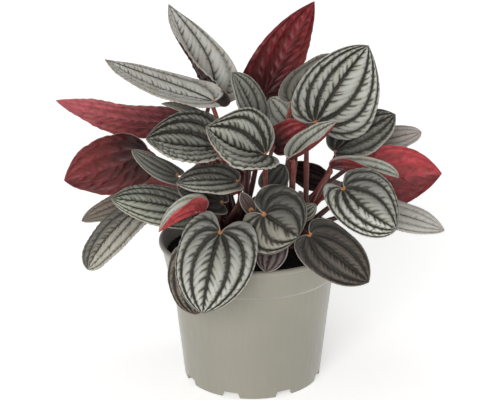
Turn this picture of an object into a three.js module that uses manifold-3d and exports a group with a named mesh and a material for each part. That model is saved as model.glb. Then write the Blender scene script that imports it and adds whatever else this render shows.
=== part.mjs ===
// A potted peperomia: rippled heart-shaped leaves on fleshy stalks, rising from five short stems
// that stand in the soil of a round 12 cm nursery pot.
//
// Millimetres, +Z up. The origin is on the surface that the pot stands on, on the pot's axis.
// The side that the picture shows looks towards -Y. +X is to its right.
import * as THREE from 'three';
import { mergeVertices } from 'three/addons/utils/BufferGeometryUtils.js';
import Module from 'manifold-3d';

const wasm = await Module();
wasm.setup();

const radians = THREE.MathUtils.degToRad;
const GAP = 0.3; // clearance that touching pieces keep

// ---------------------------------------------------------------- driving dimensions

const POT = {
  segments: 48,
  height: 93.4,
  rimRadius: 60, // outside of the rolled lip
  lipDrop: 3.2, // height of the lip
  lipRound: 0.8, // how far its edges are rounded off
  underLipRadius: 58.4,
  bandBottomRadius: 55, // lower edge of the wide band
  bandBottom: 74.2,
  stepDrop: 2.4, // slanted step from the band in to the body
  bodyTopRadius: 52,
  baseRadius: 44.4,
  wall: 1.5,
  innerEase: 0.4, // height that the inside keeps above the outside's corners
  floorBottom: 4.2, // the floor stands on a notched skirt
  floorTop: 6,
  skirtWall: 2.4,
  notches: 8,
  notchWidth: 12.5,
  notchTopWidth: 9.5,
  notchHeight: 4,
  notchDepth: 6.5,
  notchAzimuth: -18, // first notch, degrees round from the front
  drainRadius: 3.4,
  drainSides: 12,
  drainRing: 33,
};

const SOIL = {
  segments: 40,
  edgeHeight: 84,
  mound: 3.5, // rise from the wall to the middle
  // the mound's outline: share of the radius and share of the rise
  slope: [[1, 0], [0.93, 0.2], [0.6, 0.8], [0, 1]],
  wallGap: 0.6, // clearance to the pot's wall
  holeDepth: 14,
};

const SOIL_TOP = SOIL.edgeHeight + SOIL.mound;

const STEM = {
  radius: 5,
  sides: 10,
  above: 7, // length that shows over the soil
};

const STALK = {
  sides: 5,
  steps: 7,
  rootRadius: 2,
  endRadius: 1.35,
  rootHeight: 2, // where it leaves its stem, above the soil
  lean: 0.6, // how far it leaves outwards for each unit that it rises
  leaving: 0.4, // how far it keeps its first direction, as a share of its span
  arriving: 0.3, // and its last one
  past: 0.6, // how far past the blade's joint it ends
};

const BLADE = {
  thickness: 0.8,
  rowsPerWidth: 1 / 6, // a wider blade is cut into more rows
  fewestRows: 4,
  mostRows: 8,
  furrow: 0.9, // depth of a vein's furrow below the middle surface
  pillow: 0.7, // height of the tissue between two veins above it
  margin: 0.3, // how far the margin turns down
  wave: 0.4, // and how far it waves up and down
  waves: 2.5,
  fade: 6.4, // the relief dies away towards the joint and the tip
};
// Where the main veins lie on half a blade, between the midrib (0) and the margin (1).
const VEINS = {
  few: [0.4, 0.76],
  more: [0.34, 0.62, 0.85],
  broad: 50, // a blade at least so wide has more of them
  heart: 30, // and so has one at least so wide with lobes of this size
  lobe: 0.2,
};

// The short stems, where each stands in the soil.
const STEMS = {
  front: [2, -24],
  left: [-24, -4],
  right: [25, -6],
  back_left: [-9, 19],
  back_right: [18, 20],
};

// Every leaf: where its stalk joins the blade, where its tip is, the blade's full width, the
// direction its upper face is turned to, and in degrees how far it arches down along the
// midrib, folds up along it at the base and at the tip, curls (+ up, - down) towards the
// margins, twists, and sways to its right. `lobe` sets how far the base runs back past the
// joint, `point` how drawn out the tip is, and `skew` how much wider the right half is.
const LEAF_DEFAULTS = {
  arch: 25, fold: 10, foldTip: 10, curl: -30, twist: 0, sway: 0, lobe: 0.2, point: 0.3,
  skew: 0,
};
const LEAVES = [
  // the top of the plant
  { name: 'leaf_top_red', stem: 'back_left', joint: [7, 40, 175], tip: [39, 32, 240], width: 38,
    faces: [-2, 9, 2], arch: 15, fold: 18, foldTip: 18, curl: -10, point: 1.1, lobe: 0.12 },
  { name: 'leaf_top_left', stem: 'back_left', joint: [-25, 27, 175], tip: [-53, 37, 237],
    width: 47, faces: [7, -5, 4], fold: 72, foldTip: 10, arch: -8, curl: 0, sway: 8, point: 1.1,
    lobe: 0.1 },
  { name: 'leaf_left_long', stem: 'back_left', joint: [-24, -5, 185], tip: [-92, 10, 208],
    width: 33, faces: [2, -3, 9], fold: 18, foldTip: 15, arch: -20, curl: 0, sway: 20, point: 0.8,
    lobe: 0.1 },
  { name: 'leaf_left_red', stem: 'left', joint: [-40, 18, 166], tip: [-125, 22, 178], width: 32,
    faces: [0, 8, 5], arch: -16, sway: -20, point: 0.5, lobe: 0.1 },
  { name: 'leaf_left_low_red', stem: 'left', joint: [-66, 12, 148], tip: [-121, 14, 127],
    width: 46, faces: [0, 9, 3], arch: 15, sway: -28, lobe: 0.05, skew: -0.08 },
  { name: 'leaf_upper_middle', stem: 'back_left', joint: [2, 2, 170], tip: [-13, 6, 201],
    width: 25, faces: [6, -6, 3], fold: 32, foldTip: 28 },
  { name: 'leaf_big_right', stem: 'right', joint: [39, -8, 172.5], tip: [72, 10, 217], width: 53,
    faces: [1, -9, 2], fold: 6, foldTip: 18, arch: 30, lobe: 0.1, point: 0.7, sway: 18,
    skew: 0.2 },
  { name: 'leaf_behind_big_right', stem: 'back_right', joint: [25, 16, 178], tip: [62, 34, 203],
    width: 34, faces: [-3, -8, 5], lobe: 0.12 },
  { name: 'leaf_pale_behind', stem: 'back_right', joint: [25, 26, 159], tip: [11, 32, 177],
    width: 22, faces: [-2, -7, 5] },
  { name: 'leaf_small_crimson', stem: 'right', joint: [12.5, 6, 153], tip: [34, 8, 166.5],
    width: 23, faces: [0, 9, 2], lobe: 0.1 },
  // the middle of the left side
  { name: 'leaf_mid_left', stem: 'left', joint: [-19, -18, 159], tip: [-65, -24, 167], width: 52,
    faces: [0, -4, 9], fold: 32, foldTip: 22, arch: -10, curl: -10, sway: 15, lobe: 0.12 },
  { name: 'leaf_behind_mid_left', stem: 'back_left', joint: [-30, 4, 172], tip: [-57, 4, 181],
    width: 18, faces: [0, 0, 9], fold: 20 },
  { name: 'leaf_centre', stem: 'front', joint: [8, -40, 162], tip: [-28, -44, 181], width: 55,
    faces: [0, -5, 8], fold: 37, foldTip: 30, arch: -45, curl: -10, sway: 30 },
  { name: 'leaf_inner_left', stem: 'left', joint: [-9, -36, 143], tip: [-46, -44, 145],
    width: 27, faces: [0, -4, 9], fold: 22, curl: -20, lobe: 0.1 },
  { name: 'leaf_inner_low', stem: 'left', joint: [-19, -26, 126], tip: [-46, -28, 135],
    width: 20, faces: [0, -5, 8] },
  { name: 'leaf_left_curved', stem: 'left', joint: [-47, -12, 139], tip: [-75, -12, 156],
    width: 15, faces: [2, -6, 7], sway: 35 },
  { name: 'leaf_left_folded', stem: 'left', joint: [-29, -44, 127], tip: [-57, -50, 116],
    width: 25, faces: [0, 0, 9], fold: 75, foldTip: 40, curl: 0, lobe: 0.12, point: 0.9 },
  { name: 'leaf_left_silver', stem: 'left', joint: [-40, -24, 120], tip: [-87, -30, 130],
    width: 30, faces: [0, -6, 8] },
  { name: 'leaf_left_brown', stem: 'left', joint: [-68, 0, 121], tip: [-109, -2, 105],
    width: 20, faces: [-2, -5, 8] },
  { name: 'leaf_left_bottom', stem: 'left', joint: [-68, -20, 121], tip: [-103, -30, 83],
    width: 29, faces: [-4, -5, 6], point: -0.3, sway: -32 },
  // the right side
  { name: 'leaf_small_right', stem: 'right', joint: [23, -34, 157], tip: [51, -30, 180],
    width: 25, faces: [-2, -2, 9], fold: 42, foldTip: 40, arch: -30, curl: 0, sway: -15,
    lobe: 0.1 },
  { name: 'leaf_right_dark', stem: 'right', joint: [52, -2, 151], tip: [90, 8, 173], width: 34,
    faces: [-1, -6, 8], fold: 36, foldTip: 5, lobe: 0.06 },
  { name: 'leaf_right_pale', stem: 'back_right', joint: [74, 22, 147], tip: [109, 28, 155],
    width: 21, faces: [0, -5, 8], point: 0 },
  { name: 'leaf_right_red', stem: 'right', joint: [70, 6, 131], tip: [121, 10, 133], width: 54,
    faces: [0, 9, 3], arch: 20, sway: 12, point: 0.8 },
  { name: 'leaf_right_folded', stem: 'right', joint: [48, -24, 148], tip: [90, -27, 143.5],
    width: 22, faces: [0, 1, 9], fold: 78, foldTip: 30, twist: -25, curl: 0, arch: -10,
    lobe: 0.08, point: -0.3 },
  { name: 'leaf_right_front', stem: 'right', joint: [54.5, -50, 144], tip: [86, -62, 122],
    width: 40, faces: [2, -9, 4], lobe: 0.24, arch: 35, curl: -45, sway: -30, point: 0.1,
    skew: -0.22 },
  { name: 'leaf_far_right', stem: 'right', joint: [71, -12, 118], tip: [122, -8, 101], width: 25,
    faces: [2, -5, 8] },
  { name: 'leaf_low_right', stem: 'right', joint: [34, -65, 120], tip: [69, -80, 95.5],
    width: 33, faces: [2, -9, 3], lobe: 0.15, arch: 35, curl: -40 },
  // the front
  { name: 'leaf_front_middle', stem: 'front', joint: [7, -60, 131], tip: [27.5, -64, 118],
    width: 44, faces: [0, -9, 3], arch: 35, lobe: 0.42, point: 0, curl: -40, sway: 8 },
  { name: 'leaf_front_left', stem: 'front', joint: [-19, -66, 122], tip: [-29.5, -84, 77],
    width: 51, faces: [-3, -9, 4], arch: 30, lobe: 0.24, curl: -45, sway: -6, point: 0.4 },
  { name: 'leaf_hanging_brown', stem: 'left', joint: [-36, -60, 106], tip: [-34, -72, 71],
    width: 34, faces: [-3, -9, 2], point: 0 },
  { name: 'leaf_small_hanging', stem: 'front', joint: [13, -50, 111], tip: [8, -61, 94],
    width: 20, faces: [0, -8, 3], fold: 30 },
  // small and half-hidden leaves among the stalks
  { name: 'leaf_inner_dark', stem: 'front', joint: [10, -14, 132], tip: [20, -8, 145],
    width: 18, faces: [0, -8, 3] },
  { name: 'leaf_young_red', stem: 'right', joint: [31, -30, 119], tip: [39, -34, 128],
    width: 10, faces: [0, -8, 3] },
  { name: 'leaf_young_dark', stem: 'front', joint: [-1, -54, 132], tip: [-7, -54, 143],
    width: 8, faces: [0, -8, 3] },
  { name: 'leaf_edge_right', stem: 'front', joint: [25, -40, 123], tip: [28, -46, 141],
    width: 16, faces: [6, -4, 2] },
  // the back
  { name: 'leaf_back_rim', stem: 'back_right', joint: [50, 50, 114], tip: [20.5, 58, 119],
    width: 26, faces: [0, 8, 4], lobe: 0.1 },
  { name: 'leaf_back_left', stem: 'back_left', joint: [-20, 56, 122], tip: [-30, 84, 84],
    width: 44, faces: [-1, 9, 4], arch: 30 },
  { name: 'leaf_back_right', stem: 'back_right', joint: [18, 62, 98], tip: [26, 86, 62],
    width: 46, faces: [1, 9, 4], arch: 30 },
  { name: 'leaf_back_middle', stem: 'back_left', joint: [-2, 52, 128], tip: [-6, 84, 108],
    width: 42, faces: [0, 6, 8], arch: 40 },
  { name: 'leaf_back_far_right', stem: 'back_right', joint: [60, 34, 118], tip: [90, 50, 96],
    width: 36, faces: [4, 5, 7] },
  { name: 'leaf_back_far_left', stem: 'back_left', joint: [-42, 34, 115], tip: [-73, 52, 110],
    width: 26, faces: [-1, 8, 5] },
  { name: 'leaf_back_high_left', stem: 'back_left', joint: [-30, 50, 150], tip: [-60, 76, 148],
    width: 42, faces: [-2, 3, 9] },
  { name: 'leaf_back_high_right', stem: 'back_right', joint: [28, 46, 152], tip: [54, 76, 150],
    width: 44, faces: [2, 3, 9] },
].map((leaf) => ({ ...LEAF_DEFAULTS, ...leaf }));

// ---------------------------------------------------------------- shared helpers

const vec = (list) => new THREE.Vector3(...list);

// A closed geometry with its shared corners merged and its slivers dropped.
function weld(geometry) {
  geometry.deleteAttribute('normal');
  geometry.deleteAttribute('uv');
  const welded = mergeVertices(geometry, 1e-4);
  const index = welded.getIndex().array;
  const kept = [];
  for (let i = 0; i < index.length; i += 3) {
    const [a, b, c] = index.slice(i, i + 3);
    if (a !== b && b !== c && c !== a) kept.push(a, b, c);
  }
  welded.setIndex(kept);
  return welded;
}

function toSolid(geometry) {
  const welded = weld(geometry);
  return new wasm.Manifold(new wasm.Mesh({
    numProp: 3,
    vertProperties: new Float32Array(welded.getAttribute('position').array),
    triVerts: new Uint32Array(welded.getIndex().array),
  }));
}

function toGeometry(solid) {
  const mesh = solid.getMesh();
  const geometry = new THREE.BufferGeometry();
  geometry.setAttribute('position', new THREE.BufferAttribute(mesh.vertProperties, 3));
  geometry.setIndex(new THREE.BufferAttribute(mesh.triVerts, 1));
  return geometry;
}

// A solid of revolution about Z from [radius, height] pairs that run up the outside.
function turned(profile, segments) {
  const points = profile.map(([radius, height]) => new THREE.Vector2(radius, height));
  return new THREE.LatheGeometry(points, segments).rotateX(Math.PI / 2);
}

function upright(radius, bottom, top, sides, x, y) {
  const geometry = new THREE.CylinderGeometry(radius, radius, top - bottom, sides);
  return geometry.rotateX(Math.PI / 2).translate(x, y, (bottom + top) / 2);
}

// ---------------------------------------------------------------- pot

function potProfile() {
  const p = POT;
  const bandTop = p.height - p.lipDrop;
  const bodyTop = p.bandBottom - p.stepDrop;
  return [
    [0, p.floorBottom],
    [p.baseRadius - p.skirtWall, p.floorBottom],
    [p.baseRadius - p.skirtWall, 0],
    [p.baseRadius, 0],
    [p.bodyTopRadius, bodyTop],
    [p.bandBottomRadius, p.bandBottom],
    [p.underLipRadius, bandTop],
    [p.rimRadius, bandTop + p.lipRound],
    [p.rimRadius, p.height - p.lipRound],
    [p.rimRadius - p.lipRound, p.height],
    [p.underLipRadius - p.lipRound, p.height],
    [p.underLipRadius - p.wall, bandTop],
    [p.bandBottomRadius - p.wall, p.bandBottom + p.innerEase],
    [p.bodyTopRadius - p.wall, bodyTop + p.innerEase],
    [p.baseRadius - p.wall + p.innerEase, p.floorTop],
    [0, p.floorTop],
  ];
}

function potNotch(azimuth) {
  const p = POT;
  const shape = new THREE.Shape();
  shape.moveTo(-p.notchWidth / 2, -1);
  shape.lineTo(p.notchWidth / 2, -1);
  shape.lineTo(p.notchTopWidth / 2, p.notchHeight);
  shape.lineTo(-p.notchTopWidth / 2, p.notchHeight);
  shape.closePath();
  const cut = new THREE.ExtrudeGeometry(shape, { depth: p.notchDepth + 2, bevelEnabled: false });
  cut.rotateX(Math.PI / 2).translate(0, p.notchDepth - p.baseRadius, 0);
  return cut.rotateZ(azimuth);
}

function buildPot() {
  let solid = toSolid(turned(potProfile(), POT.segments));
  for (let i = 0; i < POT.notches; i += 1) {
    const azimuth = radians(POT.notchAzimuth) + (i / POT.notches) * Math.PI * 2;
    const drain = upright(POT.drainRadius, -1, POT.floorTop + 1, POT.drainSides, 0, -POT.drainRing);
    solid = solid.subtract(toSolid(potNotch(azimuth)));
    solid = solid.subtract(toSolid(drain.rotateZ(azimuth)));
  }
  return toGeometry(solid);
}

// ---------------------------------------------------------------- soil

// The inside radius of the pot's body and of its band at a height.
function innerRadius(height) {
  const bodyTop = POT.bandBottom - POT.stepDrop;
  const inBody = height <= bodyTop;
  const [low, high] = inBody ? [0, bodyTop] : [POT.bandBottom, POT.height - POT.lipDrop];
  const [narrow, wide] = inBody
    ? [POT.baseRadius, POT.bodyTopRadius]
    : [POT.bandBottomRadius, POT.underLipRadius];
  return THREE.MathUtils.mapLinear(height, low, high, narrow, wide) - POT.wall;
}

function buildSoil() {
  const bottom = POT.floorTop + GAP;
  const bodyTop = POT.bandBottom - POT.stepDrop;
  const aboveStep = POT.bandBottom + POT.innerEase + 1;
  const edge = innerRadius(SOIL.edgeHeight) - SOIL.wallGap;
  const filled = [bottom, bodyTop, aboveStep].map((z) => [innerRadius(z) - SOIL.wallGap, z]);
  const mound = SOIL.slope.map(([out, up]) => [edge * out, SOIL.edgeHeight + SOIL.mound * up]);
  let solid = toSolid(turned([[0, bottom], ...filled, ...mound], SOIL.segments));
  for (const [x, y] of Object.values(STEMS)) {
    const [bottomOfHole, above] = [SOIL_TOP - SOIL.holeDepth, SOIL_TOP + 5];
    const hole = upright(STEM.radius + GAP, bottomOfHole, above, STEM.sides, x, y);
    solid = solid.subtract(toSolid(hole));
  }
  return toGeometry(solid);
}

// ---------------------------------------------------------------- blades

// Where the line `across` reaches at `along`: sideways in half widths, lengthways in lengths.
// Each line is one cubic curve from the joint (0, 0) to the tip (0, 1), and the outer ones
// first run back round the heart's lobes, closer to the midrib the larger the lobes are.
function lineControls(across, leaf) {
  const square = across * across;
  const back = -3.2 * leaf.lobe;
  const inwards = 2.2 * leaf.lobe * square * square;
  const shoulder = 0.85 - 0.35 * leaf.point;
  return {
    side: [1.1 - inwards, 1.4 - 0.4 * leaf.point],
    length: [1 / 3 + (back - 1 / 3) * square, 2 / 3 + (shoulder - 2 / 3) * square],
  };
}

function bulge(along, first, second) {
  return 3 * along * (1 - along) ** 2 * first + 3 * along ** 2 * (1 - along) * second;
}

function widestSide(leaf) {
  const { side } = lineControls(1, leaf);
  let widest = 0;
  for (let along = 0; along <= 1; along += 0.01) {
    widest = Math.max(widest, bulge(along, ...side));
  }
  return widest;
}

function flatPoint(across, along, leaf) {
  const { side, length } = lineControls(across, leaf);
  return {
    half: (across * bulge(along, ...side)) / widestSide(leaf),
    run: bulge(along, ...length) + along ** 3,
  };
}

// The flat point raised by `lift`, then folded along the midrib, curled, twisted, arched and
// swayed. X runs across the blade, Y along it and Z out of its upper face.
function bentPoint(across, along, length, lift, leaf) {
  const { half, run } = flatPoint(across, along, leaf);
  const share = THREE.MathUtils.clamp(run, 0, 1);
  const fold = leaf.fold + (leaf.foldTip - leaf.fold) * share;
  const slope = radians(fold + (leaf.curl * Math.abs(half)) / 2);
  const side = Math.sign(half);
  const reach = (Math.abs(half) * (1 + side * leaf.skew) * leaf.width) / 2;
  let x = side * (reach * Math.cos(slope) - lift * Math.sin(slope));
  let z = reach * Math.sin(slope) + lift * Math.cos(slope);
  const twist = radians(leaf.twist) * run;
  [x, z] = [x * Math.cos(twist) - z * Math.sin(twist), x * Math.sin(twist) + z * Math.cos(twist)];
  const arch = radians(leaf.arch) + 1e-6;
  const y = (length * Math.sin(arch * run)) / arch + z * Math.sin(arch * run);
  z = (-length * (1 - Math.cos(arch * run))) / arch + z * Math.cos(arch * run);
  const sway = radians(leaf.sway) + 1e-6;
  const radius = length / sway;
  const turn = y / radius;
  const inner = radius - x;
  return new THREE.Vector3(radius - inner * Math.cos(turn), inner * Math.sin(turn), z);
}

// The leaf's own frame: it carries the bent midrib's ends onto the joint and the tip, with the
// upper face turned as `faces` says.
function leafFrame(leaf) {
  const joint = vec(leaf.joint);
  const chord = vec(leaf.tip).sub(joint);
  const end = bentPoint(0, 1, 1, 0, leaf);
  const along = chord.clone().normalize();
  const up = vec(leaf.faces);
  up.addScaledVector(along, -up.dot(along)).normalize();
  const world = new THREE.Matrix4().makeBasis(along.clone().cross(up), along, up);
  const ownAlong = end.clone().normalize();
  const ownUp = new THREE.Vector3(0, 0, 1);
  ownUp.addScaledVector(ownAlong, -ownUp.dot(ownAlong)).normalize();
  const own = new THREE.Matrix4().makeBasis(ownAlong.clone().cross(ownUp), ownAlong, ownUp);
  const matrix = world.multiply(own.transpose()).setPosition(joint);
  return { matrix, length: chord.length() / end.length() };
}

function lineLift(kind, along) {
  const fade = Math.min(1, BLADE.fade * along * (1 - along));
  const waving = BLADE.wave * Math.cos(BLADE.waves * 2 * Math.PI * along);
  if (kind === 'vein') return -BLADE.furrow * fade;
  if (kind === 'pillow') return BLADE.pillow * fade;
  return (waving - BLADE.margin) * fade;
}

// Lines that run from joint to tip: a sunken vein, raised pillows halfway between two veins, and
// the thin margins.
function bladeLines(leaf) {
  const heart = leaf.lobe >= VEINS.lobe && leaf.width >= VEINS.heart;
  const veins = heart || leaf.width >= VEINS.broad ? VEINS.more : VEINS.few;
  const right = veins.flatMap((across, i) => [
    { across: (across + (veins[i - 1] ?? 0)) / 2, kind: 'pillow' },
    { across, kind: 'vein' },
  ]);
  right.push({ across: 1, kind: 'margin' });
  const left = right.map(({ across, kind }) => ({ across: -across, kind })).reverse();
  return [...left, { across: 0, kind: 'vein' }, ...right];
}

function bladeRows(leaf) {
  const rows = Math.round(leaf.width * BLADE.rowsPerWidth);
  return THREE.MathUtils.clamp(rows, BLADE.fewestRows, BLADE.mostRows);
}

// Two faces split into triangles alike, closed by walls along the margins. Every line starts at
// the joint and ends at the tip.
function bladeGeometry(leaf) {
  const { matrix, length } = leafFrame(leaf);
  const lines = bladeLines(leaf);
  const rows = bladeRows(leaf);
  const vertices = [];
  const faces = [];
  const corner = (across, along, kind, side) => {
    const lift = lineLift(kind, along) + (side * BLADE.thickness) / 2;
    const point = bentPoint(across, along, length, lift, leaf).applyMatrix4(matrix);
    vertices.push(...point.toArray());
    return vertices.length / 3 - 1;
  };
  const sheet = (side) => {
    const joint = corner(0, 0, 'vein', side);
    const tip = corner(0, 1, 'vein', side);
    return lines.map(({ across, kind }) => {
      const between = [];
      for (let i = 1; i < rows; i += 1) between.push(corner(across, i / rows, kind, side));
      return [joint, ...between, tip];
    });
  };
  const quad = (a, b, c, d) => {
    if (a !== b) faces.push(a, b, c);
    if (c !== d) faces.push(a, c, d);
  };
  const turnedQuad = (a, b, c, d) => {
    if (a !== b) faces.push(c, b, a);
    if (c !== d) faces.push(d, c, a);
  };
  const upper = sheet(1);
  const under = sheet(-1);
  for (let j = 0; j < rows; j += 1) {
    for (let i = 0; i + 1 < lines.length; i += 1) {
      quad(upper[i][j], upper[i + 1][j], upper[i + 1][j + 1], upper[i][j + 1]);
      turnedQuad(under[i][j], under[i + 1][j], under[i + 1][j + 1], under[i][j + 1]);
    }
    const last = lines.length - 1;
    quad(under[last][j], under[last][j + 1], upper[last][j + 1], upper[last][j]);
    quad(under[0][j + 1], under[0][j], upper[0][j], upper[0][j + 1]);
  }
  const geometry = new THREE.BufferGeometry();
  geometry.setAttribute('position', new THREE.Float32BufferAttribute(vertices, 3));
  geometry.setIndex(faces);
  return geometry;
}

// ---------------------------------------------------------------- stems and stalks

// A tapering tube along a curve, closed by a flat cap at each end.
function taperedTube(curve, startRadius, endRadius) {
  const { sides, steps } = STALK;
  const frames = curve.computeFrenetFrames(steps, false);
  const vertices = [];
  const faces = [];
  for (let i = 0; i <= steps; i += 1) {
    const centre = curve.getPointAt(i / steps);
    const radius = startRadius + ((endRadius - startRadius) * i) / steps;
    for (let k = 0; k < sides; k += 1) {
      const angle = (k / sides) * Math.PI * 2;
      const point = centre.clone();
      point.addScaledVector(frames.normals[i], radius * Math.cos(angle));
      point.addScaledVector(frames.binormals[i], radius * Math.sin(angle));
      vertices.push(...point.toArray());
    }
  }
  for (let i = 0; i < steps; i += 1) {
    for (let k = 0; k < sides; k += 1) {
      const a = i * sides + k;
      const b = i * sides + ((k + 1) % sides);
      faces.push(a, b, b + sides, a, b + sides, a + sides);
    }
  }
  const end = steps * sides;
  for (let k = 1; k + 1 < sides; k += 1) {
    faces.push(0, k + 1, k);
    faces.push(end, end + k, end + k + 1);
  }
  const geometry = new THREE.BufferGeometry();
  geometry.setAttribute('position', new THREE.Float32BufferAttribute(vertices, 3));
  geometry.setIndex(faces);
  return geometry;
}

// From its stem up and out, to end under the blade's joint without touching the blade.
function stalkCurve(leaf) {
  const across = new THREE.Vector3();
  const along = new THREE.Vector3();
  const up = new THREE.Vector3();
  leafFrame(leaf).matrix.extractBasis(across, along, up);
  const drop = BLADE.thickness / 2 + BLADE.furrow + GAP + STALK.endRadius * 0.6;
  const end = vec(leaf.joint).addScaledVector(up, -drop).addScaledVector(along, STALK.past);
  const root = new THREE.Vector3(...STEMS[leaf.stem], SOIL_TOP + STALK.rootHeight);
  const outward = new THREE.Vector3(end.x - root.x, end.y - root.y, 0).normalize();
  const leaving = outward.multiplyScalar(STALK.lean).add(new THREE.Vector3(0, 0, 1)).normalize();
  const arriving = along.multiplyScalar(0.6).addScaledVector(up, 0.8);
  const span = root.distanceTo(end);
  return new THREE.CubicBezierCurve3(
    root,
    root.clone().addScaledVector(leaving, span * STALK.leaving),
    end.clone().addScaledVector(arriving, -span * STALK.arriving),
    end,
  );
}

function buildStem(name) {
  const [x, y] = STEMS[name];
  const bottom = SOIL_TOP - SOIL.holeDepth + GAP;
  let solid = toSolid(upright(STEM.radius, bottom, SOIL_TOP + STEM.above, STEM.sides, x, y));
  for (const leaf of LEAVES.filter((each) => each.stem === name)) {
    const tube = taperedTube(stalkCurve(leaf), STALK.rootRadius, STALK.endRadius);
    solid = solid.add(toSolid(tube));
  }
  return toGeometry(solid);
}

// ---------------------------------------------------------------- assembly

const matter = (color, roughness) => (
  new THREE.MeshStandardMaterial({ color, roughness, metalness: 0 })
);
const potPlastic = matter(0x9b9889, 0.45);
const soilMatter = matter(0x15110e, 1);
const stalkFlesh = matter(0x8a3a34, 0.5);
const bladeTissue = matter(0x9c9f97, 0.5);

const group = new THREE.Group();

function place(name, geometry, material) {
  const mesh = new THREE.Mesh(geometry, material);
  mesh.name = name;
  group.add(mesh);
}

place('pot', buildPot(), potPlastic);
place('soil', buildSoil(), soilMatter);
for (const name of Object.keys(STEMS)) place(`stem_${name}`, buildStem(name), stalkFlesh);
for (const leaf of LEAVES) place(leaf.name, bladeGeometry(leaf), bladeTissue);

export default group;
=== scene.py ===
"""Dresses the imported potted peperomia: fine rippled leaves, fleshy stalks, crumbly soil and the
moulded pot, with a pale floor, soft studio light and the camera.

The frame is the part's own: +Z up, -Y towards the viewer. Sizes are written in millimetres
and meshes are made in metres.
"""
import math

import bpy
import bmesh
import numpy as np
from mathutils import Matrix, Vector, noise


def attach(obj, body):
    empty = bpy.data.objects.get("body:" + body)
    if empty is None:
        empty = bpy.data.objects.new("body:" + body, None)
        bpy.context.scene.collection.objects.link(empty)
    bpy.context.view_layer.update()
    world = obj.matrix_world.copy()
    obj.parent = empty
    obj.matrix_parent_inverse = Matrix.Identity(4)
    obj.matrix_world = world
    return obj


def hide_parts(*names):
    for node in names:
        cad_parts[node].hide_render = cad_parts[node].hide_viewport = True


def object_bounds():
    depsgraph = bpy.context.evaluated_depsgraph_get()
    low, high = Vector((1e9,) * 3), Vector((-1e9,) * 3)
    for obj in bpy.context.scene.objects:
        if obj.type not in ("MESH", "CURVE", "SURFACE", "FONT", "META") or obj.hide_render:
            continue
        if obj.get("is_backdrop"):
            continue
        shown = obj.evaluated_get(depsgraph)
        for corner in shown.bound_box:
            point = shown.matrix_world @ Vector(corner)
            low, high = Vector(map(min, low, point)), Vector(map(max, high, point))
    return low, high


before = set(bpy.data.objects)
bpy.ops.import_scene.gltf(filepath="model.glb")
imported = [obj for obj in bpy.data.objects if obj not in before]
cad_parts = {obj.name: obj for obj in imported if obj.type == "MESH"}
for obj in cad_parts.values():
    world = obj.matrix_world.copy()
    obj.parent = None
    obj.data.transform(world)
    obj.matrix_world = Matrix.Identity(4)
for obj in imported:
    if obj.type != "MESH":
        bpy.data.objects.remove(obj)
cad_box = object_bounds()

MM = 0.001
SEED = 20

# ---------------------------------------------------------------- the part's own dimensions

SOIL_TOP = 87.5
STEMS = {
    "front": (2, -24),
    "left": (-24, -4),
    "right": (25, -6),
    "back_left": (-9, 19),
    "back_right": (18, 20),
}
THICKNESS = 0.8  # of a blade
FURROW = 0.9  # depth of a main vein
PILLOW = 0.7  # height of the tissue between two main veins
GAP = 0.3  # that touching pieces keep in the part
STALK_ROOT = 2.0  # radius where a stalk leaves its stem
STALK_END = 1.35  # radius where it meets the blade


# tone sets how strong the colour is on the left and right halves, at the joint and at the tip:
# partly the leaf's own uneven colour, partly painted shade on halves and joints turned away from
# the light
def leaf(name, stem, joint, tip, width, faces, arch=25, fold=10, fold_tip=10, curl=-30, twist=0,
         sway=0, lobe=0.2, point=0.3, skew=0.0, upper="grey", under="wine", bands=1.0, ribs=0.9,
         pitch=1.0, depth=1.0, tone=(1, 1, 0.5, 1.05)):
    return dict(locals())


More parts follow.
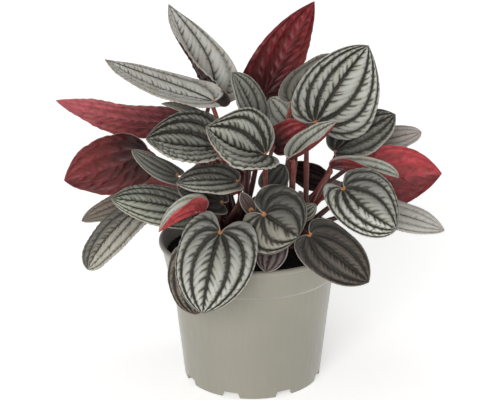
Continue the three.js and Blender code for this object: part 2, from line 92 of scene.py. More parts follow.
# As in the part: where the stalk joins the blade, where the tip is, the full width, the
# direction that the upper face is turned to, and then the shape, in degrees and shares. Only
# mid_left and front_middle stand up to 0.5 mm off, clear of what their finer edges would touch.
LEAVES = (
    leaf("top_red", "back_left", (7, 40, 175), (39, 32, 240), 38, (-2, 9, 2), arch=15, fold=18,
         fold_tip=18, curl=-10, point=1.1, lobe=0.12, ribs=1.4, pitch=2.2,
         tone=(0.85, 0.7, 0.4, 1), under="crimson"),
    leaf("top_left", "back_left", (-25, 27, 175), (-53, 37, 237), 47, (7, -5, 4), fold=72,
         fold_tip=10, arch=-8, curl=0, sway=8, point=1.1, lobe=0.1, upper="pale", bands=0.45,
         pitch=1.3, depth=0.8, tone=(0.85, 0.85, 0.8, 0.9), under="shaded_black"),
    leaf("left_long", "back_left", (-24, -5, 185), (-92, 10, 208), 33, (2, -3, 9), fold=18,
         fold_tip=15, arch=-20, curl=0, sway=20, point=0.8, lobe=0.1, upper="pale", bands=0.5,
         pitch=1.2, depth=0.8, tone=(0.85, 0.85, 0.8, 0.85)),
    leaf("left_red", "left", (-40, 18, 166), (-125, 22, 178), 32, (0, 8, 5), arch=-16, sway=-20,
         point=0.5, lobe=0.1, ribs=1.3, pitch=2.4, depth=0.55, tone=(1, 0.85, 0.2, 1.15),
         under="pink"),
    leaf("left_low_red", "left", (-66, 12, 148), (-121, 14, 127), 46, (0, 9, 3), arch=15,
         sway=-28, lobe=0.05, skew=-0.08, ribs=1.3, pitch=2.4, depth=0.45,
         tone=(0.9, 0.6, 0.08, 1.2), under="wine"),
    leaf("upper_middle", "back_left", (2, 2, 170), (-13, 6, 201), 25, (6, -6, 3), fold=32,
         fold_tip=28, upper="deep_and_shaded", bands=0.7, tone=(0.75, 0.75, 0.5, 1.2)),
    leaf("big_right", "right", (39, -8, 172.5), (72, 10, 217), 53, (1, -9, 2), fold=6,
         fold_tip=18, arch=30, lobe=0.1, point=0.7, sway=18, skew=0.2, upper="silver", bands=0.9,
         ribs=1.2, pitch=1.15, tone=(0.85, 1, 0.7, 1)),
    leaf("behind_big_right", "back_right", (25, 16, 178), (62, 34, 203), 34, (-3, -8, 5),
         lobe=0.12, upper="greybrown", bands=0.6, tone=(0.7, 0.6, 0.5, 0.9)),
    leaf("pale_behind", "back_right", (25, 26, 159), (11, 32, 177), 22, (-2, -7, 5),
         upper="silver", bands=0.4),
    leaf("small_crimson", "right", (12.5, 6, 153), (34, 8, 166.5), 23, (0, 9, 2), lobe=0.1,
         ribs=1, pitch=2, tone=(0.8, 1, 0.05, 1.2), under="crimson"),
    leaf("mid_left", "left", (-19.3, -18.4, 159), (-65.3, -24.4, 167), 52, (0, -4, 9), fold=32,
         fold_tip=22, arch=-10, curl=-10, sway=15, lobe=0.12, upper="deep_and_shaded", bands=1.3, ribs=1.2,
         tone=(1.2, 0.75, 0.6, 1.15)),
    leaf("behind_mid_left", "back_left", (-30, 4, 172), (-57, 4, 181), 18, (0, 0, 9), fold=20,
         bands=0.5),
    leaf("centre", "front", (8, -40, 162), (-28, -44, 181), 55, (0, -5, 8), fold=37, fold_tip=30,
         arch=-45, curl=-10, sway=30, upper="grey", bands=1.15, ribs=1.2,
         tone=(0.8, 0.85, 0.6, 1.15)),
    leaf("inner_left", "left", (-9, -36, 143), (-46, -44, 145), 27, (0, -4, 9), fold=22,
         curl=-20, lobe=0.1, upper="deep_and_shaded", bands=1.3, tone=(1.2, 0.6, 0.6, 1.1)),
    leaf("inner_low", "left", (-19, -26, 126), (-46, -28, 135), 20, (0, -5, 8), upper="night_and_shaded"),
    leaf("left_curved", "left", (-47, -12, 139), (-75, -12, 156), 15, (2, -6, 7), sway=35,
         upper="deep_and_shaded", bands=0.5, tone=(0.6, 0.6, 0.6, 1.1)),
    leaf("left_folded", "left", (-29, -44, 127), (-57, -50, 116), 25, (0, 0, 9), fold=75,
         fold_tip=40, curl=0, lobe=0.12, point=0.9, bands=0.3, tone=(1.15, 1.15, 0.9, 1.1),
         under="bright"),
    leaf("left_silver", "left", (-40, -24, 120), (-87, -30, 130), 30, (0, -6, 8), upper="sage",
         bands=0.6, ribs=1.3, pitch=1.3, tone=(0.85, 0.45, 0.5, 1.15)),
    leaf("left_brown", "left", (-68, 0, 121), (-109, -2, 105), 20, (-2, -5, 8), upper="brown",
         bands=0.4),
    leaf("left_bottom", "left", (-68, -20, 121), (-103, -30, 83), 29, (-4, -5, 6), point=-0.3,
         sway=-32, upper="greybrown", bands=0.6, ribs=1.3, pitch=1.3, tone=(1.15, 0.4, 0.6, 1.1)),
    leaf("small_right", "right", (23, -34, 157), (51, -30, 180), 25, (-2, -2, 9), fold=42,
         fold_tip=40, arch=-30, curl=0, sway=-15, lobe=0.1, upper="grey", bands=0.6, pitch=1.3),
    leaf("right_dark", "right", (52, -2, 151), (90, 8, 173), 34, (-1, -6, 8), fold=36,
         fold_tip=5, lobe=0.06, upper="deep_and_shaded", bands=1.3, tone=(0.75, 0.65, 0.35, 1.15)),
    leaf("right_pale", "back_right", (74, 22, 147), (109, 28, 155), 21, (0, -5, 8), point=0,
         upper="beige", bands=0.3),
    leaf("right_red", "right", (70, 6, 131), (121, 10, 133), 54, (0, 9, 3), arch=20, sway=12,
         point=0.8, ribs=1.4, pitch=2.2, depth=0.6, tone=(0.45, 1.05, 0.7, 0.95), under="bright"),
    leaf("right_folded", "right", (48, -24, 148), (90, -27, 143.5), 22, (0, 1, 9), fold=78,
         fold_tip=30, twist=-25, curl=0, arch=-10, lobe=0.08, point=-0.3, upper="grey",
         bands=0.6, under="crimson"),
    leaf("right_front", "right", (54.5, -50, 144), (86, -62, 122), 40, (2, -9, 4), lobe=0.24,
         arch=35, curl=-45, sway=-30, point=0.1, skew=-0.22, upper="silver", bands=0.8, ribs=1.1,
         pitch=1.1, tone=(0.6, 1.05, 0.45, 1.2)),
    leaf("far_right", "right", (71, -12, 118), (122, -8, 101), 25, (2, -5, 8), upper="pale",
         bands=0.3, tone=(0.9, 0.9, 0.8, 0.9)),
    leaf("low_right", "right", (34, -65, 120), (69, -80, 95.5), 33, (2, -9, 3), lobe=0.15,
         arch=35, curl=-40, upper="brown", bands=1.2, tone=(0.55, 0.5, 0.4, 1)),
    leaf("front_middle", "front", (6.8, -60, 131.2), (27.3, -64, 118.2), 44, (0, -9, 3), arch=35,
         lobe=0.42, point=0, curl=-40, sway=8, upper="greybrown", bands=0.8,
         tone=(0.3, 0.9, 0.5, 1)),
    leaf("front_left", "front", (-19, -66, 122), (-29.5, -84, 77), 51, (-3, -9, 4), arch=30,
         lobe=0.24, curl=-45, sway=-6, point=0.4, upper="silver", ribs=1.1, pitch=1.15,
         tone=(0.9, 0.85, 0.4, 1.15)),
    leaf("hanging_brown", "left", (-36, -60, 106), (-34, -72, 71), 34, (-3, -9, 2), point=0,
         upper="brown", tone=(0.9, 1, 0.8, 1.1)),
    leaf("small_hanging", "front", (13, -50, 111), (8, -61, 94), 20, (0, -8, 3), fold=30,
         upper="purple"),
    leaf("inner_dark", "front", (10, -14, 132), (20, -8, 145), 18, (0, -8, 3), upper="night_and_shaded",
         bands=0.5),
    leaf("young_red", "right", (31, -30, 119), (39, -34, 128), 10, (0, -8, 3), under="crimson"),
    leaf("young_dark", "front", (-1, -54, 132), (-7, -54, 143), 8, (0, -8, 3), upper="umber",
         bands=0.4),
    leaf("edge_right", "front", (25, -40, 123), (28, -46, 141), 16, (6, -4, 2), upper="umber",
         bands=0.4),
    leaf("back_rim", "back_right", (50, 50, 114), (20.5, 58, 119), 26, (0, 8, 4), lobe=0.1,
         tone=(0.6, 0.6, 0.6, 0.8), under="shaded_black"),
    leaf("back_left", "back_left", (-20, 56, 122), (-30, 84, 84), 44, (-1, 9, 4), arch=30),
    leaf("back_right", "back_right", (18, 62, 98), (26, 86, 62), 46, (1, 9, 4), arch=30),
    leaf("back_middle", "back_left", (-2, 52, 128), (-6, 84, 108), 42, (0, 6, 8), arch=40,
         under="shaded_black"),
    leaf("back_far_right", "back_right", (60, 34, 118), (90, 50, 96), 36, (4, 5, 7)),
    leaf("back_far_left", "back_left", (-42, 34, 115), (-73, 52, 110), 26, (-1, 8, 5)),
    leaf("back_high_left", "back_left", (-30, 50, 150), (-60, 76, 148), 42, (-2, 3, 9)),
    leaf("back_high_right", "back_right", (28, 46, 152), (54, 76, 150), 44, (2, 3, 9)),
)

# Colours of a blade's pillows and of its underside, linear.
UPPER_COLOURS = {
    "pale": (0.67, 0.66, 0.62),
    "silver": (0.49, 0.50, 0.455),
    "sage": (0.41, 0.44, 0.365),
    "grey": (0.42, 0.43, 0.38),
    "greybrown": (0.36, 0.345, 0.295),
    # partly painted shade: the colour for dark leaves that lie in the shade of others
    "deep_and_shaded": (0.265, 0.27, 0.235),
    # partly painted shade: the colour for dark leaves in the deep shade inside the plant
    "night_and_shaded": (0.060, 0.060, 0.052),
    "umber": (0.070, 0.040, 0.035),
    "brown": (0.185, 0.150, 0.120),
    "purple": (0.15, 0.105, 0.11),
    "beige": (0.42, 0.38, 0.36),
}
UNDER_COLOURS = {
    "wine": (0.21, 0.024, 0.028),
    "pink": (0.42, 0.075, 0.095),
    "bright": (0.50, 0.055, 0.07),
    "crimson": (0.30, 0.032, 0.040),
    # painted shade: the underside of leaves that lie in shadow
    "shaded_black": (0.055, 0.014, 0.016),
}

INK = (0.018, 0.015, 0.009)  # of the veins above
PALE_MARGIN = (0.36, 0.33, 0.28)
JOINT_SPOT = (0.44, 0.19, 0.065)
# a painted highlight for the raised veins of the underside
UNDER_RIDGE = (0.45, 0.10, 0.11)
UNDER_MARGIN = (0.36, 0.18, 0.16)

# ---------------------------------------------------------------- helpers


def unit(v):
    v = np.asarray(v, float)
    return v / np.linalg.norm(v)


def smooth(low, high, value):
    share = np.clip((value - low) / (high - low), 0, 1)
    return share * share * (3 - 2 * share)


def make_mesh(name, points, faces, material_of=None, materials=()):
    """An object from points in millimetres. Faces are an array of quads whose fourth corner is
    -1 for a triangle."""
    faces = np.asarray(faces)
    sizes = np.where(faces[:, 3] < 0, 3, 4)
    corners = faces.reshape(-1)
    corners = corners[corners >= 0]
    mesh = bpy.data.meshes.new(name)
    mesh.vertices.add(len(points))
    mesh.vertices.foreach_set("co", (np.asarray(points) * MM).astype(np.float32).ravel())
    mesh.loops.add(len(corners))
    mesh.loops.foreach_set("vertex_index", corners.astype(np.int32))
    mesh.polygons.add(len(faces))
    starts = np.concatenate([[0], np.cumsum(sizes)[:-1]])
    mesh.polygons.foreach_set("loop_start", starts.astype(np.int32))
    mesh.polygons.foreach_set("use_smooth", np.ones(len(faces), bool))
    for material in materials:
        mesh.materials.append(material)
    if material_of is not None:
        mesh.polygons.foreach_set("material_index", np.asarray(material_of, np.int32))
    mesh.update(calc_edges=True)
    mesh.validate()
    obj = bpy.data.objects.new(name, mesh)
    bpy.context.scene.collection.objects.link(obj)
    return obj


def without_loose(points, faces):
    """The points that faces use, the faces renumbered, and which points were kept."""
    used = np.zeros(len(points), bool)
    used[faces[faces >= 0]] = True
    renumber = np.cumsum(used) - 1
    return points[used], np.where(faces >= 0, renumber[faces], -1), used


def add_attribute(obj, name, values):
    attribute = obj.data.attributes.new(name, "FLOAT_VECTOR", "POINT")
    attribute.data.foreach_set("vector", np.asarray(values, np.float32).ravel())


# ---------------------------------------------------------------- material helpers


class Nodes:
    """Short calls for building one material's node tree."""

    def __init__(self, name):
        self.material = bpy.data.materials.new(name)
        self.material.use_nodes = True
        self.tree = self.material.node_tree
        self.shader = self.tree.nodes["Principled BSDF"]

    def node(self, kind, inputs=(), **settings):
        made = self.tree.nodes.new(kind)
        for key, value in settings.items():
            setattr(made, key, value)
        for key, value in dict(inputs).items():
            self.set(made.inputs[key], value)
        return made

    def set(self, socket, value):
        if isinstance(value, bpy.types.NodeSocket):
            self.tree.links.new(value, socket)
        else:
            socket.default_value = value

    def shade(self, **inputs):
        for key, value in inputs.items():
            self.set(self.shader.inputs[key.replace("_", " ")], value)

    def attribute(self, name):
        return self.node("ShaderNodeAttribute", attribute_name=name, attribute_type="GEOMETRY")

    def split(self, vector):
        return self.node("ShaderNodeSeparateXYZ", {0: vector}).outputs

    def math(self, operation, a, b=0.0):
        return self.node("ShaderNodeMath", {0: a, 1: b}, operation=operation).outputs[0]

    def ramp(self, value, low, high, start=0.0, end=1.0):
        """Smooth step of value between low and high."""
        made = self.node(
            "ShaderNodeMapRange",
            {"Value": value, "From Min": low, "From Max": high, "To Min": start, "To Max": end},
            interpolation_type="SMOOTHSTEP",
        )
        return made.outputs[0]

    def mix(self, share, a, b, blend="MIX"):
        made = self.node("ShaderNodeMix", data_type="RGBA", blend_type=blend)
        for key, value in ((0, share), (6, a), (7, b)):
            if isinstance(value, tuple):
                value = (*value, 1.0)
            self.set(made.inputs[key], value)
        return made.outputs[2]

    def tinted(self, colour, by):
        return self.mix(1.0, colour, by, "MULTIPLY")

    def noise(self, where, scale, detail=3.0, roughness=0.5):
        made = self.node(
            "ShaderNodeTexNoise",
            {"Vector": where, "Scale": scale, "Detail": detail, "Roughness": roughness},
        )
        return made.outputs[0]

    def bump(self, height, distance, strength=1.0, normal=None):
        inputs = {"Height": height, "Distance": distance, "Strength": strength}
        if normal is not None:
            inputs["Normal"] = normal
        return self.node("ShaderNodeBump", inputs).outputs[0]


# ---------------------------------------------------------------- blade materials


def upper_material():
    """Ink along the veins, broken up by noise, on mottled tissue, with painted shade round the
    veins and down in the valleys. `vein` holds how far the main and the side veins are, in vein
    widths, and how high the tissue stands, which sets the painted shade; `rim` how far the margin
    and the joint are, in millimetres, and the share of the length."""
    n = Nodes("blade_upper")
    tint = n.attribute("tint").outputs["Color"]
    vein = n.split(n.attribute("vein").outputs["Vector"])
    place = n.attribute("place").outputs["Vector"]
    rim = n.split(n.attribute("rim").outputs["Vector"])
    feather = n.node("ShaderNodeMapping", {
        "Vector": n.attribute("feather").outputs["Vector"], "Scale": (0.6, 0.25, 1.0)}).outputs[0]
    barbs = n.math("SUBTRACT", n.noise(feather, 1.0, 3.0, 0.7), 0.5)
    ragged = n.math("SUBTRACT", n.noise(place, 1.3, 4.0, 0.7), 0.5)
    main = n.math("ADD", vein[0], n.math("MULTIPLY", barbs, 2.6))
    main = n.math("ADD", main, n.math("MULTIPLY", ragged, 0.5))
    side = n.math("ADD", vein[1], n.math("MULTIPLY", ragged, 1.2))
    base = n.ramp(rim[2], 0.02, 0.40, 0.75, 0.0)
    main_ink = n.ramp(n.math("SUBTRACT", main, base), 0.5, 1.2, 1.0, 0.0)
    side_ink = n.ramp(side, 0.2, 1.5, 0.75, 0.0)
    ink = n.math("MAXIMUM", main_ink, side_ink)
    # painted shade: the tissue darker where it slopes down to the main and side veins
    main_halo = n.ramp(n.math("SUBTRACT", main, base), 0.8, 2.1, 1.0, 0.0)
    halo = n.math("MAXIMUM", main_halo, n.ramp(side, 0.6, 3.2, 0.8, 0.0))
    patches = n.ramp(n.noise(place, 0.13, 3.0, 0.6), 0.38, 0.68)
    fine = n.noise(place, 2.4, 5.0, 0.65)
    warm = n.tinted(tint, (0.86, 0.77, 0.66))
    tissue = n.mix(n.math("MULTIPLY", patches, 0.5), tint, warm)
    shade = n.tinted(tissue, (0.52, 0.53, 0.48))
    tissue = n.mix(n.ramp(fine, 0.38, 0.68, 0.0, 0.5), tissue, shade)
    tissue = n.mix(n.math("MULTIPLY", halo, 0.6), tissue, n.tinted(tissue, (0.34, 0.34, 0.27)))
    # painted shade: the tissue darker down in the valleys, by how high it stands
    low = n.tinted(tissue, (0.22, 0.22, 0.18))
    tissue = n.mix(n.ramp(vein[2], 0.0, 1.0), low, tissue)
    colour = n.mix(ink, tissue, INK)
    colour = n.mix(n.ramp(rim[0], 0.25, 0.8, 0.7, 0.0), colour, PALE_MARGIN)
    colour = n.mix(n.ramp(rim[1], 1.0, 2.0, 0.95, 0.0), colour, JOINT_SPOT)
    n.shade(Base_Color=colour, Roughness=n.ramp(fine, 0.3, 0.7, 0.40, 0.55))
    cells = n.node(
        "ShaderNodeTexVoronoi", {"Vector": place, "Scale": 0.8}, feature="DISTANCE_TO_EDGE")
    net = n.ramp(cells.outputs[0], 0.0, 0.12)
    relief = n.bump(net, 0.10 * MM, 0.5)
    relief = n.bump(fine, 0.22 * MM, 0.8, relief)
    relief = n.bump(n.math("SUBTRACT", 1.0, ink), 0.25 * MM, 0.7, relief)
    n.shade(Normal=relief, Specular_IOR_Level=0.4, Sheen_Weight=0.08, Sheen_Roughness=0.4)
    return n.material


def under_material():
    """The smooth red underside, browner between its raised veins, with painted shade towards the
    joint and a painted highlight along the raised veins.
    """
    n = Nodes("blade_under")
    tint = n.attribute("tint").outputs["Color"]
    vein = n.split(n.attribute("vein").outputs["Vector"])
    place = n.attribute("place").outputs["Vector"]
    rim = n.split(n.attribute("rim").outputs["Vector"])
    patches = n.noise(place, 0.2, 4.0, 0.6)
    fine = n.noise(place, 2.2, 4.0, 0.6)
    brown = n.tinted(tint, (0.60, 0.95, 0.62))
    away = n.math("MINIMUM", vein[0], vein[1])
    colour = n.mix(n.ramp(away, 0.6, 3.0, 0.0, 0.6), tint, brown)
    dark = n.tinted(colour, (0.45, 0.42, 0.42))
    colour = n.mix(n.ramp(patches, 0.42, 0.7, 0.0, 0.75), colour, dark)
    # painted shade: the underside darker towards the joint
    near_joint = n.ramp(rim[2], 0.0, 0.55, 0.8, 0.0)
    colour = n.mix(near_joint, colour, n.tinted(colour, (0.35, 0.33, 0.35)))
    speckle = n.ramp(fine, 0.35, 0.7, 0.0, 0.35)
    colour = n.mix(speckle, colour, n.tinted(colour, (0.6, 0.55, 0.55)))
    ridge = n.math("MAXIMUM", n.ramp(vein[0], 0.12, 0.42, 1.0, 0.0),
                   n.ramp(vein[1], 0.1, 0.8, 0.6, 0.0))
    # painted highlight: the raised veins lighter and pinker
    colour = n.mix(n.math("MULTIPLY", ridge, 0.35), colour, n.mix(0.35, tint, UNDER_RIDGE))
    colour = n.mix(n.ramp(rim[0], 0.2, 0.7, 0.6, 0.0), colour, UNDER_MARGIN)
    n.shade(Base_Color=colour, Roughness=n.ramp(fine, 0.3, 0.7, 0.38, 0.50))
    relief = n.bump(fine, 0.12 * MM, 0.6)
    relief = n.bump(ridge, 0.35 * MM, 0.8, relief)
    n.shade(Normal=relief, Specular_IOR_Level=0.30)
    return n.material


# ---------------------------------------------------------------- blades

# Where the main veins run, from midrib to margin, and how broad their ink is.
FEW_VEINS = ((0.0, 1.0), (0.4, 0.75), (0.76, 0.3), (1.0, 0.0))
MORE_VEINS = ((0.0, 1.0), (0.34, 1.0), (0.62, 0.8), (0.85, 0.4), (1.0, 0.0))
RELIEF = 1.35  # the fine blades are more rippled than the plain ones
POINT_STEP = 0.6  # mm between two points of a blade
FULL_WIDTH = 40  # mm, from which veins and waves have their full size
SIDE_VEINS = 90  # random draws for each strip between two main veins
BARBS = 110  # random draws for the notches out of a main vein
AWAY = 1e3  # vein widths, for a point that no vein is near


def bulge(along, first, second):
    return 3 * along * (1 - along) ** 2 * first + 3 * along**2 * (1 - along) * second


def side_controls(spec, across):
    return 1.1 - 2.2 * spec["lobe"] * across**4, 1.4 - 0.4 * spec["point"]


def flat_point(spec, across, along):
    """Sideways in half widths, lengthways in lengths."""
    widest = bulge(np.linspace(0, 1, 101), *side_controls(spec, 1.0)).max()
    square = across * across
    back = 1 / 3 + (-3.2 * spec["lobe"] - 1 / 3) * square
    shoulder = 2 / 3 + (0.85 - 0.35 * spec["point"] - 2 / 3) * square
    half = across * bulge(along, *side_controls(spec, across)) / widest
    return half, bulge(along, back, shoulder) + along**3


def bent_point(spec, across, along, length, lift):
    half, run = flat_point(spec, across, along)
    share = np.clip(run, 0, 1)
    fold = spec["fold"] + (spec["fold_tip"] - spec["fold"]) * share
    slope = np.radians(fold + spec["curl"] * np.abs(half) / 2)
    side = np.sign(half)
    reach = np.abs(half) * (1 + side * spec["skew"]) * spec["width"] / 2
    x = side * (reach * np.cos(slope) - lift * np.sin(slope))
    z = reach * np.sin(slope) + lift * np.cos(slope)
    twist = math.radians(spec["twist"]) * run
    x, z = x * np.cos(twist) - z * np.sin(twist), x * np.sin(twist) + z * np.cos(twist)
    arch = math.radians(spec["arch"]) + 1e-6
    y = length * np.sin(arch * run) / arch + z * np.sin(arch * run)
    z = -length * (1 - np.cos(arch * run)) / arch + z * np.cos(arch * run)
    radius = length / (math.radians(spec["sway"]) + 1e-6)
    turn = y / radius
    inner = radius - x
    return np.stack([radius - inner * np.cos(turn), inner * np.sin(turn), z], -1)


def leaf_frame(spec):
    """The axes (across, along, up) of the leaf as columns, and its length."""
    chord = np.subtract(spec["tip"], spec["joint"]).astype(float)
    end = bent_point(spec, np.zeros(1), np.ones(1), 1.0, np.zeros(1))[0]

    def axes(along, up):
        along = unit(along)
        up = unit(up - along * np.dot(up, along))
        return np.stack([np.cross(along, up), along, up], 1)

    world = axes(chord, np.array(spec["faces"], float))
    own = axes(end, np.array([0.0, 0.0, 1.0]))
    return world @ own.T, world, np.linalg.norm(chord) / np.linalg.norm(end)


def rung_gaps(q, rungs):
    """How far each point lies from the nearest of the sorted rungs, and which one it is."""
    after = np.clip(np.searchsorted(rungs, q), 1, len(rungs) - 1)
    nearest = np.where(q - rungs[after - 1] < rungs[after] - q, after - 1, after)
    return np.abs(q - rungs[nearest]), nearest


def blade_fields(spec, across, along, length, rng):
    """Height of the middle surface over the flat blade, and what the colours need: how far each
    point lies from the veins in vein widths, and in millimetres from the margin and joint."""
    half, run = flat_point(spec, across, along)
    x = half * (1 + np.sign(half) * spec["skew"]) * spec["width"] / 2
    y = run * length
    step = across[0, 1] - across[0, 0]
    pace = along[1, 0] - along[0, 0]
    dxs, dys = np.gradient(x, step, axis=1), np.gradient(y, step, axis=1)
    dxt, dyt = np.gradient(x, pace, axis=0), np.gradient(y, pace, axis=0)
    speed = np.maximum(np.hypot(dxt, dyt), 1e-6)
    # a step of `across` goes so far square to the line from joint to tip, and so far along it
    spread = np.abs(dxs * dyt - dys * dxt) / speed
    slide = (dxs * dxt + dys * dyt) / speed
    arc = np.cumsum(speed * pace, axis=0)
    middle = across.shape[1] // 2
    walked = np.zeros_like(across)
    walked[:, middle + 1:] = np.cumsum(slide[:, middle + 1:] * step, axis=1)
    walked[:, :middle] = -np.cumsum(slide[:, :middle][:, ::-1] * step, axis=1)[:, ::-1]

    def foot(line):
        """Where on the line the nearest point lies, as a length from the joint."""
        column = int(round((line + 1) / step))
        return arc[:, column, None] + walked - walked[:, column, None]

    size = min(1.0, spec["width"] / FULL_WIDTH)
    fade = np.minimum(1, 6.4 * along * (1 - along))
    out = np.abs(across)
    shape = np.maximum(along, 1e-3) ** 0.5 * (1 - along) ** 1.15
    band = spec["bands"] * size * (0.42 + 2.3 * shape)
    height = np.zeros_like(out)
    crest = np.zeros_like(out)
    main = np.full_like(out, AWAY)
    side = np.full_like(out, AWAY)
    ladder = np.zeros_like(out)
    comb = np.zeros_like(out)
    heart = spec["width"] >= 50 or (spec["lobe"] >= 0.2 and spec["width"] >= 30)
    edges = MORE_VEINS if heart else FEW_VEINS
    spacing = spec["pitch"] * min(4.2, max(2.0, spec["width"] * 0.085))
    crease = 0.85 * size * spec["pitch"]
    boldness = spec["bands"] ** 0.7
    for sign in (-1, 1):
        for (low, low_ink), (high, high_ink) in zip(edges, edges[1:]):
            here = (out >= low) & (out <= high) & (across * sign >= 0)
            last = high == 1.0
            whole = np.maximum(spread * (high - low), 1e-4)
            from_low = np.clip((out - low) * spread, 0, whole)
            from_high = whole - from_low
            share = from_low / whole
            half_gap = whole * (1.0 if last else 0.5)
            low_width = np.minimum(band * low_ink, 0.5 * half_gap)
            high_width = np.minimum(band * high_ink, 0.5 * half_gap)
            # side veins run out of the inner vein and bend towards the tip
            rungs = spacing * (np.arange(SIDE_VEINS) + rng.uniform(-0.3, 0.3, SIDE_VEINS) - 6)
            power = rng.uniform(0.1, 1.0, SIDE_VEINS) ** 1.2
            lean = whole * (0.35 * share + 0.85 * share**2)
            gap, nearest = rung_gaps(foot(low * sign) - lean, rungs)
            power = power[nearest]
            tapered = np.clip(1 - (from_low - low_width) / (whole * (0.25 + 0.7 * power)), 0, 1)
            ink = 0.16 + (0.25 + 0.65 * power) * tapered**0.7
            side_here = gap / (size * boldness * ink)
            # and short notches out of the outer vein
            if not last:
                barbs = spacing * 0.8 * (np.arange(BARBS) + rng.uniform(-0.3, 0.3, BARBS) - 6)
                reach = size * rng.uniform(0.4, 2.6, BARBS)
                barb_gap, nearest = rung_gaps(foot(high * sign) - from_high * 0.7, barbs)
                tapered = np.clip(1 - (from_high - high_width) / reach[nearest], 0, 1)
                notch = barb_gap / (size * boldness * (0.05 + 0.6 * tapered))
                side_here = np.where(share > 0.5, notch, side_here)
            near = from_low if last else np.minimum(from_low, from_high)
            if last:
                rise = -FURROW + (FURROW - 0.3) * share + np.sin(np.pi * share) ** 0.8 * 0.75
                top = np.clip(share * 1.7, 0, 1)
            else:
                top = 1 - np.abs(1 - 2 * share) ** 2.4
                rise = -FURROW + (FURROW + PILLOW) * top
            dip = np.exp(-((gap / crease) ** 2)) * (0.55 + 0.45 * power)
            height = np.where(here, rise * RELIEF * spec["depth"], height)
            comb_low = foot(low * sign) - lean
            comb_high = foot(high * sign) - from_high * 0.7 + 31
            comb = np.where(here, np.where((share > 0.5) & (not last), comb_high, comb_low), comb)
            crest = np.where(here, top, crest)
            away = from_low / np.maximum(low_width, 1e-3)
            if not last:
                away = np.minimum(away, from_high / np.maximum(high_width, 1e-3))
            main = np.where(here, away, main)
            side = np.where(here, side_here, side)
            dip = dip * (1 - 0.3 * share) * np.minimum(1, near / (0.8 * size))
            ladder = np.where(here, dip, ladder)
    phase = rng.uniform(0, 7, 4)
    turn = np.where(across < 0, 1.7, 0.0)
    wave = 0.4 * np.cos(2.5 * 2 * np.pi * along)
    wave = wave + 0.55 * np.sin(2 * np.pi * 2.2 * along + phase[0] + turn)
    wave = wave + 0.45 * np.sin(2 * np.pi * 3.7 * along + phase[1] + turn)
    height = height + wave * out**3
    height = (height - spec["ribs"] * ladder + 0.15 * crest) * fade * size
    # from here crest sets the painted shade of the upper face: darkest in the valleys and side
    # dips, less deep on faintly veined blades
    crest = 1 - (1 - crest * (1 - 0.6 * ladder)) * min(1.0, boldness**0.7)
    margin = (1 - out) * spread
    joint = np.hypot(x, y)
    tip = np.hypot(x, y - length)
    vein = np.stack([main, side, crest], -1)
    rim = np.stack([np.minimum(margin, tip + 0.2), joint, along], -1)
    flat = np.stack([x, y], -1)
    feather = np.stack([comb, main, np.zeros_like(out)], -1)
    return height, vein, rim, flat, margin, feather


